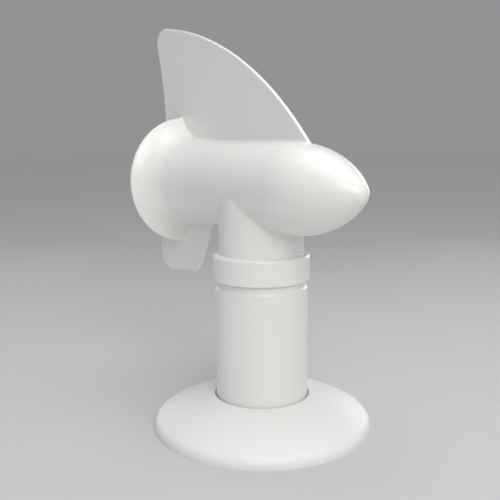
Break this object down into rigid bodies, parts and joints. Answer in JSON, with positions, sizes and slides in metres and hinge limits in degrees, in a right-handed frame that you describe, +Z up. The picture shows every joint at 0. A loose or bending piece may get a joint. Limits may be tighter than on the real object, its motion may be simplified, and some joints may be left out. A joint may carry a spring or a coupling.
{
  "type": "rotating vent cap",
  "caption": "Wind-vane vent cap: a bullet-shaped hollow head with a bell mouth and a tail fin turns on a riser tube that stands in a domed roof flange.",
  "frame": {"origin": "on the riser's axis, in the roof plane under the flange", "axes": "+Z up along the riser, +X towards the nose at rest"},
  "size_m": [0.2287, 0.157, 0.2926],
  "materials": {
    "flange_plastic": "satin white",
    "riser_plastic": "satin white",
    "washer_plastic": "matt natural",
    "ring_plastic": "matt natural",
    "head_plastic": "satin white"
  },
  "bodies": {
    "base": {"roof_flange": "flange_plastic", "riser_tube": "riser_plastic", "thrust_washer": "washer_plastic", "retaining_ring": "ring_plastic"},
    "head": {"wind_head": "head_plastic"}
  },
  "joints": [
    {"name": "head_spin", "type": "hinge", "parent": "base", "child": "head", "pos_m": [0, 0, 0.1225], "axis": [0, 0, 1], "continuous": true}
  ]
}
